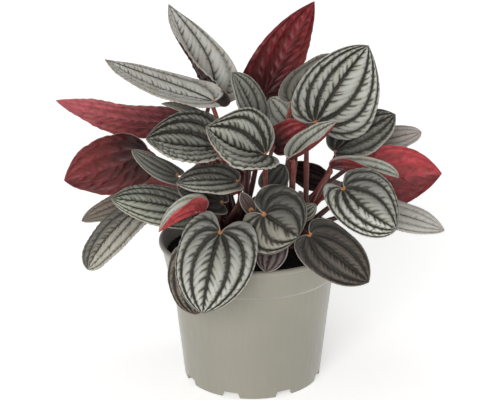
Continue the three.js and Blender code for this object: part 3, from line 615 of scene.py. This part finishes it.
def build_leaf(number, spec, upper, under):
    rng = np.random.default_rng(SEED + number)
    axes, world, length = leaf_frame(spec)
    joint = np.array(spec["joint"], float)
    columns = int(np.clip(round(spec["width"] / POINT_STEP / 2) * 2, 24, 92))
    rows = int(np.clip(round(length / POINT_STEP), 30, 120))
    across, along = np.meshgrid(np.linspace(-1, 1, columns + 1), np.linspace(0, 1, rows + 1))
    height, vein, rim, flat, margin, feather = blade_fields(spec, across, along, length, rng)
    thin = 0.45 + 0.55 * smooth(0.0, 1.4, margin)  # towards the margin, in the last 1.4 mm
    half = THICKNESS / 2 * thin

    def sheet(offset):
        return bent_point(spec, across, along, length, height + offset) @ axes.T + joint

    upper_face, lower_face, middle = sheet(half), sheet(-half), sheet(0.0)
    count = (rows + 1) * (columns + 1)
    index = np.arange(count).reshape(rows + 1, columns + 1)
    points = [upper_face.reshape(-1, 3), lower_face.reshape(-1, 3)]

    a, b = index[:-1, :-1], index[:-1, 1:]
    c, d = index[1:, 1:], index[1:, :-1]
    top = np.stack([a, b, c, d], -1).reshape(-1, 4)
    bottom = np.stack([d, c, b, a], -1).reshape(-1, 4) + count
    # the rounded margin: one more row of points a little further out than both faces
    walls, rim_points, rim_source = [], [], []
    for column, order in ((columns, 1), (0, -1)):
        inner = 1 if column == 0 else columns - 1
        outward = middle[:, column] - middle[:, inner]
        size = np.linalg.norm(outward, axis=1, keepdims=True)
        outward = outward / np.maximum(size, 1e-6)
        bulb = middle[:, column] + outward * half[:, column, None] * 0.7
        bulb[0], bulb[-1] = middle[0, column], middle[-1, column]
        start = 2 * count + len(rim_points) * (rows + 1)
        rim_points.append(bulb)
        rim_source.append(index[:, column])
        row = np.arange(rows + 1) + start
        up, down = index[:, column], index[:, column] + count
        for one, two in ((up, row), (row, down)):
            strip = np.stack([two[:-1], two[1:], one[1:], one[:-1]], -1)
            walls.append(strip if order > 0 else strip[:, ::-1])
    points = np.concatenate([*points, *rim_points])
    faces = np.concatenate([top, bottom, *walls])
    material_of = np.concatenate([
        np.zeros(len(top)), np.ones(len(bottom)),
        *(np.full(len(w), i % 2) for i, w in enumerate(walls)),
    ])
    source = np.concatenate([index.ravel(), index.ravel(), *rim_source])

    # joint and tip are one point on each face
    joined = np.arange(len(points))
    for base in (0, count):
        joined[index[0] + base] = index[0, 0] + base
        joined[index[-1] + base] = index[-1, 0] + base
    faces = joined[faces]
    keep, shape = [], []
    for number_of, face in zip(material_of, faces):
        corners = [face[i] for i in range(4) if face[i] != face[i - 1]]
        if len(corners) < 3:
            continue
        keep.append(corners if len(corners) == 4 else [*corners, -1])
        shape.append(number_of)
    points, faces, used = without_loose(points, np.array(keep))
    source = source[used]
    face_of = np.concatenate([np.zeros(count), np.ones(count), np.full(len(used) - 2 * count, 0.5)])
    face_of = face_of[used]

    obj = make_mesh(f"blade_{spec['name']}", points, faces, shape, (upper, under))
    add_attribute(obj, "vein", vein.reshape(-1, 3)[source])
    add_attribute(obj, "rim", rim.reshape(-1, 3)[source])
    place = np.concatenate([flat.reshape(-1, 2), np.full((count, 1), 40.0 * number)], 1)[source]
    place[:, 2] += face_of * 7
    add_attribute(obj, "place", place)
    feather[..., 2] = 17.0 * number
    add_attribute(obj, "feather", feather.reshape(-1, 3)[source])
    light = np.array(UPPER_COLOURS[spec["upper"]])
    dark = np.array(UNDER_COLOURS[spec["under"]])
    tint = light + (dark - light) * (face_of[:, None] > 0.6)
    # partly the leaf's own uneven colour and partly painted shade: one half, the joint or the tip
    # end made darker
    left, right, base, end = spec["tone"]
    tone = left + (right - left) * smooth(-0.35, 0.35, across)
    tone = tone * (base + (end - base) * smooth(0.0, 0.8, along))
    tint = tint * tone.ravel()[source, None]
    add_attribute(obj, "tint", tint)
    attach(obj, "root")
    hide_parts(f"leaf_{spec['name']}")
    return world, joint


# ---------------------------------------------------------------- stems and stalks

STEM_RADIUS = 4.9
STEM_RINGS = 22
STEM_SIDES = 28
STALK_SIDES = 14


def stalk_material():
    n = Nodes("stalk_flesh")
    place = n.attribute("place").outputs["Vector"]
    stretched = n.node("ShaderNodeMapping", {"Vector": place, "Scale": (1.0, 1.0, 0.12)}).outputs[0]
    streak = n.noise(stretched, 1.4, 4.0, 0.6)
    blotch = n.noise(place, 0.12, 3.0, 0.5)
    red = n.mix(n.ramp(streak, 0.3, 0.72), (0.30, 0.050, 0.036), (0.20, 0.028, 0.024))
    pale = n.mix(n.ramp(streak, 0.3, 0.72), (0.36, 0.13, 0.07), (0.24, 0.12, 0.055))
    colour = n.mix(n.ramp(blotch, 0.45, 0.7, 0.0, 0.8), red, pale)
    height = n.split(n.attribute("rise").outputs["Vector"])[2]
    # painted shade: darker down among the leaves, by the height in millimetres
    colour = n.mix(n.ramp(height, 100.0, 185.0), n.tinted(colour, (0.12, 0.13, 0.13)), colour)
    n.shade(Base_Color=colour, Roughness=n.ramp(streak, 0.3, 0.7, 0.32, 0.5),
            Normal=n.bump(streak, 0.2 * MM, 0.7), Specular_IOR_Level=0.5)
    return n.material


def bezier(points, share):
    a, b, c, d = (np.asarray(p, float) for p in points)
    t = share[:, None]
    return (1 - t) ** 3 * a + 3 * t * (1 - t) ** 2 * b + 3 * t * t * (1 - t) * c + t**3 * d


def even_curve(points, steps):
    fine = bezier(points, np.linspace(0, 1, 200))
    walked = np.concatenate([[0], np.cumsum(np.linalg.norm(np.diff(fine, axis=0), axis=1))])
    goal = np.linspace(0, walked[-1], steps)
    return np.stack([np.interp(goal, walked, fine[:, i]) for i in range(3)], 1)


def ring_faces(count, sides):
    """Quads between rings of points, closed at both ends by the two points that follow them."""
    index = np.arange(count * sides).reshape(count, sides)
    a, b = index[:-1], np.roll(index[:-1], -1, 1)
    c, d = np.roll(index[1:], -1, 1), index[1:]
    none = np.full(sides, -1)
    start, end = np.full(sides, count * sides), np.full(sides, count * sides + 1)
    return np.concatenate([
        np.stack([a, b, c, d], -1).reshape(-1, 4),
        np.stack([np.roll(index[0], -1), index[0], start, none], -1),
        np.stack([index[-1], np.roll(index[-1], -1), end, none], -1),
    ])


def tube(path, radii, sides):
    """Rings round a path, closed at both ends by a point."""
    tangents = np.gradient(path, axis=0)
    tangents /= np.linalg.norm(tangents, axis=1, keepdims=True)
    side = unit(np.cross(tangents[0], (0.3, 1.0, 0.2)))
    rings = []
    angle = np.linspace(0, 2 * math.pi, sides, endpoint=False)
    for point, tangent, radius in zip(path, tangents, radii):
        side = unit(side - tangent * np.dot(side, tangent))
        other = np.cross(tangent, side)
        turned = np.cos(angle)[:, None] * side + np.sin(angle)[:, None] * other
        rings.append(point + radius * turned)
    points = np.concatenate([*rings, path[:1], path[-1:]])
    return points, ring_faces(len(path), sides)


def stalk_path(spec, world, joint):
    along, up = world[:, 1], world[:, 2]
    drop = THICKNESS / 2 + FURROW + GAP + STALK_END * 0.6
    end = joint - up * drop + along * 0.6
    root = np.array([*STEMS[spec["stem"]], SOIL_TOP + 2.0])
    outward = unit((end - root) * (1, 1, 0))
    leaving = unit(outward * 0.6 + np.array([0, 0, 1.0]))
    arriving = along * 0.6 + up * 0.8
    span = np.linalg.norm(end - root)
    path = even_curve((root, root + leaving * span * 0.4, end - arriving * span * 0.3, end), 40)
    tail = joint - up * (THICKNESS / 2 - 0.05)
    bridge = [end + (tail - end) * k for k in (0.35, 0.7, 1.0)]
    return np.concatenate([path, bridge])


def build_stems(blades, material):
    for name, (x, y) in STEMS.items():
        points, faces, places = [], [], []
        total = 0

        def collect(made, place):
            nonlocal total
            points.append(made[0])
            faces.append(np.where(made[1] >= 0, made[1] + total, -1))
            places.append(place)
            total += len(made[0])

        heights = np.linspace(SOIL_TOP - 10, SOIL_TOP + 7.5, STEM_RINGS)
        rise = (heights - heights[0]) / (heights[-1] - heights[0])
        top = np.sqrt(np.clip(1.02 - rise**7, 0.05, 1))
        radii = STEM_RADIUS * (1 + 0.05 * np.sin(rise * 21)) * top
        path = np.stack([np.full(STEM_RINGS, x), np.full(STEM_RINGS, y), heights], 1)
        made = tube(path, radii, STEM_SIDES)
        knobs = np.array([noise.noise(Vector(p * 0.35)) for p in made[0]])
        centre = np.array([x, y, 0.0])
        outward = (made[0] - centre) * (1, 1, 0)
        made = (made[0] + outward * knobs[:, None] * 0.14, made[1])
        collect(made, made[0])
        for number, (spec, world, joint) in enumerate(blades):
            if spec["stem"] != name:
                continue
            path = stalk_path(spec, world, joint)
            share = np.linspace(0, 1, len(path))
            small = min(1.0, 0.55 + spec["width"] / 60)
            radii = (STALK_ROOT + (STALK_END - STALK_ROOT) * share) * small
            radii = radii * (1 + 0.25 * np.exp(-share / 0.05)) + 0.06 * np.sin(share * 25 + number)
            radii[-3:] = radii[-4] * np.array([1.02, 1.0, 0.85])
            made = tube(path, radii, STALK_SIDES)
            walked = np.repeat(share * 60, STALK_SIDES)
            round_it = np.linspace(0, 2 * math.pi, STALK_SIDES, endpoint=False)
            angle = np.tile(round_it, len(path))
            place = np.stack([np.cos(angle) * 2, np.sin(angle) * 2 + 20 * number, walked], 1)
            collect(made, np.concatenate([place, place[:1], place[-1:]]))
        obj = make_mesh(f"stalks_{name}", np.concatenate(points), np.concatenate(faces),
                        materials=(material,))
        add_attribute(obj, "place", np.concatenate(places))
        # the heights that set the stalks' painted shade down among the leaves
        add_attribute(obj, "rise", np.concatenate(points))
        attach(obj, "root")
        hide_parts(f"stem_{name}")


# ---------------------------------------------------------------- soil

SOIL_EDGE = 84.0
SOIL_RADIUS = 55.6
SOIL_SLOPE = ((0, 1.0), (0.6, 0.8), (0.93, 0.2), (1.0, 0.0))
SOIL_FLOOR = 74.0
SOIL_INSET = 0.4  # clear of the pot wall
CRUMBS = 900


def soil_height(radius):
    share, rise = zip(*SOIL_SLOPE)
    return SOIL_EDGE + 3.5 * np.interp(radius / SOIL_RADIUS, share, rise)


def soil_material():
    n = Nodes("peat")
    where = n.node("ShaderNodeTexCoord").outputs["Object"]
    coarse = n.noise(where, 260.0, 5.0, 0.7)
    fine = n.noise(where, 1400.0, 4.0, 0.7)
    colour = n.mix(n.ramp(coarse, 0.4, 0.7), (0.004, 0.0035, 0.003), (0.012, 0.009, 0.007))
    colour = n.mix(n.ramp(fine, 0.62, 0.75), colour, (0.040, 0.027, 0.019))
    n.shade(Base_Color=colour, Roughness=n.ramp(fine, 0.3, 0.7, 0.75, 0.98),
            Normal=n.bump(fine, 0.35 * MM, 0.9), Specular_IOR_Level=0.25)
    return n.material


def build_soil(material):
    rng = np.random.default_rng(SEED + 600)
    sides, rings = 220, 84
    radius = np.linspace(0, 1, rings) * (SOIL_RADIUS - SOIL_INSET)
    angle = np.linspace(0, 2 * math.pi, sides, endpoint=False)
    r, a = np.meshgrid(radius, angle, indexing="ij")
    x, y = r * np.cos(a), r * np.sin(a)
    z = soil_height(r)
    lumps = np.array([
        noise.noise(Vector((px, py, 3.0)) * 0.16) * 1.3
        + noise.noise(Vector((px, py, 9.0)) * 0.45) * 0.8
        + noise.noise(Vector((px, py, 20.0)) * 1.1) * 0.4
        for px, py in zip(x.ravel(), y.ravel())
    ]).reshape(z.shape)
    z = z + lumps * smooth(0.0, 3.0, SOIL_RADIUS - r) - 0.4
    top = np.stack([x, y, z], -1).reshape(-1, 3)
    skirt_radius = SOIL_RADIUS - SOIL_INSET
    skirt = np.stack([np.cos(angle) * skirt_radius * 0.985, np.sin(angle) * skirt_radius * 0.985,
                      np.full(sides, SOIL_FLOOR)], -1)
    points = [top, skirt, [[0, 0, SOIL_FLOOR]]]
    index = np.arange(rings * sides).reshape(rings, sides)
    a0, b0 = index[1:-1], np.roll(index[1:-1], -1, 1)
    c0, d0 = np.roll(index[2:], -1, 1), index[2:]
    none = np.full(sides, -1)
    faces = [np.stack([a0, d0, c0, b0], -1).reshape(-1, 4)]
    faces.append(np.stack([np.full(sides, index[0, 0]), index[1], np.roll(index[1], -1), none], -1))
    low = np.arange(sides) + rings * sides
    faces.append(np.stack([index[-1], low, np.roll(low, -1), np.roll(index[-1], -1)], -1))
    faces.append(np.stack([np.roll(low, -1), low, np.full(sides, rings * sides + sides), none], -1))
    total = rings * sides + sides + 1
    # crumbs that lie half sunk on it
    sphere = bmesh.new()
    bmesh.ops.create_icosphere(sphere, subdivisions=2, radius=1.0)
    ball = np.array([v.co for v in sphere.verts])
    ball_faces = np.array([[v.index for v in f.verts] + [-1] for f in sphere.faces])
    sphere.free()
    for _ in range(CRUMBS):
        distance = (SOIL_RADIUS - 3) * math.sqrt(rng.uniform())
        turn = rng.uniform(0, 2 * math.pi)
        size = rng.uniform(0.45, 1.0) ** 2 * 2.0
        centre = np.array([distance * math.cos(turn), distance * math.sin(turn), 0.0])
        centre[2] = soil_height(distance) + rng.uniform(-0.3, 0.35) * size
        shape = ball * rng.uniform(0.6, 1.1, 3) * size
        rough = np.array([noise.noise(Vector(p * 0.9 + centre)) for p in shape])
        shape = shape * (1 + 0.45 * rough[:, None])
        points.append(shape + centre)
        faces.append(np.where(ball_faces >= 0, ball_faces + total, -1))
        total += len(ball)
    points = np.concatenate([np.asarray(p, float) for p in points])
    points, faces, _ = without_loose(points, np.concatenate(faces))
    obj = make_mesh("soil_crumbs", points, faces, materials=(material,))
    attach(obj, "root")
    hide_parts("soil")


# ---------------------------------------------------------------- pot

POT_PROFILE = (  # radius, height and how far the corner is rounded, up the outside
    (0, 4.2, 0), (42.0, 4.2, 0.6), (42.0, 0, 0.5), (44.4, 0, 0.9), (52, 71.8, 1.2),
    (55, 74.2, 0.9), (58.4, 90.2, 0.7), (60, 91.0, 0.5), (60, 92.6, 0.8), (59.2, 93.4, 0.5),
    (57.6, 93.4, 0.6), (56.9, 90.2, 0.5), (53.5, 74.6, 1.0), (50.5, 72.2, 1.0),
    (43.3, 6.0, 1.0), (0, 6.0, 0),
)


POT_SIDES = 256
FOOT_RADIUS = 44.4
NOTCHES = 8
FIRST_NOTCH = -18  # degrees round from the front
NOTCH_OUTLINE = ((-6.25, -1), (6.25, -1), (5.3, 3.0), (4.6, 4.0), (-4.6, 4.0), (-5.3, 3.0))
NOTCH_DEPTH = 6.5
DRAIN_RADIUS = 3.4
DRAIN_RING = 33  # from the pot's axis
DRAIN_SIDES = 32
SHARP = math.radians(32)


def rounded_profile(corners, steps=4):
    points = []
    for i, (radius, height, ease) in enumerate(corners):
        here = np.array([radius, height], float)
        if ease == 0:
            points.append(here)
            continue
        before = np.array(corners[i - 1][:2], float)
        after = np.array(corners[i + 1][:2], float)
        back = min(ease, np.linalg.norm(before - here) * 0.45)
        ahead = min(ease, np.linalg.norm(after - here) * 0.45)
        start = here + unit(before - here) * back
        end = here + unit(after - here) * ahead
        for k in range(steps + 1):
            t = k / steps
            points.append((1 - t) ** 2 * start + 2 * t * (1 - t) * here + t * t * end)
    return np.array(points)


def pot_material():
    n = Nodes("pot_plastic")
    where = n.node("ShaderNodeTexCoord").outputs["Object"]
    cloud = n.noise(where, 24.0, 3.0, 0.5)
    grain = n.noise(where, 2600.0, 3.0, 0.6)
    flow = n.node("ShaderNodeMapping", {"Vector": where, "Scale": (1.0, 1.0, 0.15)}).outputs[0]
    brushed = n.noise(flow, 420.0, 3.0, 0.6)
    colour = n.mix(n.ramp(cloud, 0.35, 0.7), (0.262, 0.250, 0.204), (0.242, 0.231, 0.190))
    colour = n.mix(n.ramp(brushed, 0.3, 0.75, 0.0, 0.25), colour, (0.217, 0.207, 0.168))
    n.shade(Base_Color=colour, Roughness=n.ramp(brushed, 0.3, 0.7, 0.40, 0.50))
    relief = n.bump(grain, 0.03 * MM, 0.6)
    relief = n.bump(cloud, 0.5 * MM, 0.25, relief)
    n.shade(Normal=relief, Specular_IOR_Level=0.45, Sheen_Weight=0.35, Sheen_Roughness=0.35)
    return n.material


def build_pot(material):
    profile = rounded_profile(POT_PROFILE)
    angle = np.linspace(0, 2 * math.pi, POT_SIDES, endpoint=False)
    rings = [
        np.stack([np.cos(angle) * radius, np.sin(angle) * radius, np.full(POT_SIDES, height)], -1)
        for radius, height in profile[1:-1]
    ]
    points = np.concatenate([*rings, [[0, 0, profile[0][1]]], [[0, 0, profile[-1][1]]]])
    faces = ring_faces(len(rings), POT_SIDES)
    obj = make_mesh("pot_moulding", points, faces, materials=(material,))
    knife_mesh = bmesh.new()
    for i in range(NOTCHES):
        turn = math.radians(FIRST_NOTCH) + i / NOTCHES * 2 * math.pi
        cos, sin = math.cos(turn), math.sin(turn)

        def corner(x, y, z):
            return knife_mesh.verts.new(Vector((x, y, z)) * MM)

        front, back = [
            [corner(px * cos - y * sin, px * sin + y * cos, pz) for px, pz in NOTCH_OUTLINE]
            for y in (-FOOT_RADIUS - 2, -FOOT_RADIUS + NOTCH_DEPTH)
        ]
        knife_mesh.faces.new(front)
        knife_mesh.faces.new(back[::-1])
        for k in range(len(NOTCH_OUTLINE)):
            m = (k + 1) % len(NOTCH_OUTLINE)
            knife_mesh.faces.new((front[m], front[k], back[k], back[m]))
        low, high = [
            [corner(DRAIN_RING * sin + DRAIN_RADIUS * math.cos(w),
                    -DRAIN_RING * cos + DRAIN_RADIUS * math.sin(w), z)
             for w in np.linspace(0, 2 * math.pi, DRAIN_SIDES, endpoint=False)]
            for z in (-1, 7)
        ]
        knife_mesh.faces.new(low[::-1])
        knife_mesh.faces.new(high)
        for k in range(DRAIN_SIDES):
            m = (k + 1) % DRAIN_SIDES
            knife_mesh.faces.new((low[k], low[m], high[m], high[k]))
    bmesh.ops.recalc_face_normals(knife_mesh, faces=knife_mesh.faces)
    knife_data = bpy.data.meshes.new("knife")
    knife_mesh.to_mesh(knife_data)
    knife_mesh.free()
    knife = bpy.data.objects.new("knife", knife_data)
    bpy.context.scene.collection.objects.link(knife)
    cut = obj.modifiers.new("cut", "BOOLEAN")
    cut.operation = "DIFFERENCE"
    cut.solver = "MANIFOLD"
    cut.object = knife
    bpy.context.view_layer.update()
    depsgraph = bpy.context.evaluated_depsgraph_get()
    whole = bpy.data.meshes.new_from_object(obj.evaluated_get(depsgraph))
    obj.modifiers.clear()
    obj.data = whole
    bpy.data.objects.remove(knife)
    obj.data.set_sharp_from_angle(angle=SHARP)
    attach(obj, "root")
    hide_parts("pot")


# ---------------------------------------------------------------- floor, light and camera

FLOOR_HALF = 3000  # mm
FLOOR_GLOW = 0.42
SKY_STRENGTH = 0.36
SUNS = (  # name, where it shines to, strength, spread in degrees
    ("key", (0.25, 1.0, -0.42), 2.1, 35),
    ("top", (0.2, 0.1, -1.0), 0.35, 50),
    ("right", (-1.0, -0.25, -0.15), 0.7, 40),
    ("left", (1.0, -0.25, -0.15), 0.3, 40),
)
FOCAL_PIXELS = 1573
PICTURE_WIDTH = 500
SENSOR_WIDTH = 36.0
CAMERA_RISE = 19.85  # degrees
CAMERA_DISTANCE = 1.0
LOOK_AT = (-0.00153, 0, 0.1186)


def build_stage():
    half = FLOOR_HALF
    corners = [(-half, -half, 0), (half, -half, 0), (half, half, 0), (-half, half, 0)]
    floor = make_mesh("floor", corners, [[0, 1, 2, 3]])
    n = Nodes("floor")
    where = n.node("ShaderNodeTexCoord").outputs["Object"]
    colour = n.mix(n.noise(where, 3.0), (0.90, 0.90, 0.89), (0.88, 0.88, 0.87))
    n.shade(Base_Color=colour, Roughness=0.9, Emission_Color=(1.0, 1.0, 1.0, 1.0),
            Emission_Strength=FLOOR_GLOW)
    floor.data.materials.append(n.material)
    floor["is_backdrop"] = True
    world = bpy.data.worlds.new("studio")
    world.use_nodes = True
    background = world.node_tree.nodes["Background"]
    background.inputs["Color"].default_value = (1.0, 1.0, 1.0, 1.0)
    background.inputs["Strength"].default_value = SKY_STRENGTH
    bpy.context.scene.world = world
    for name, towards, strength, spread in SUNS:
        data = bpy.data.lights.new(name, "SUN")
        data.energy = strength
        data.angle = math.radians(spread)
        lamp = bpy.data.objects.new(name, data)
        lamp.rotation_euler = Vector(towards).to_track_quat("-Z", "Y").to_euler()
        bpy.context.scene.collection.objects.link(lamp)


def build_camera():
    data = bpy.data.cameras.new("camera")
    data.sensor_width = SENSOR_WIDTH
    data.lens = FOCAL_PIXELS / PICTURE_WIDTH * SENSOR_WIDTH
    data.clip_start = 0.05
    data.clip_end = 20.0
    camera = bpy.data.objects.new("camera", data)
    elevation = math.radians(CAMERA_RISE)
    back = Vector((0, -math.cos(elevation), math.sin(elevation)))
    camera.location = Vector(LOOK_AT) + back * CAMERA_DISTANCE
    camera.rotation_euler = (-back).to_track_quat("-Z", "Y").to_euler()
    bpy.context.scene.collection.objects.link(camera)
    bpy.context.scene.camera = camera


# ---------------------------------------------------------------- making it all

build_camera()
build_stage()
bpy.context.scene.view_settings.view_transform = "Standard"
upper_side, under_side = upper_material(), under_material()
blades = []
for number, spec in enumerate(LEAVES):
    blades.append((spec, *build_leaf(number, spec, upper_side, under_side)))
build_stems(blades, stalk_material())
build_soil(soil_material())
build_pot(pot_material())

boxes = {"cad": cad_box, "visual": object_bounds()}
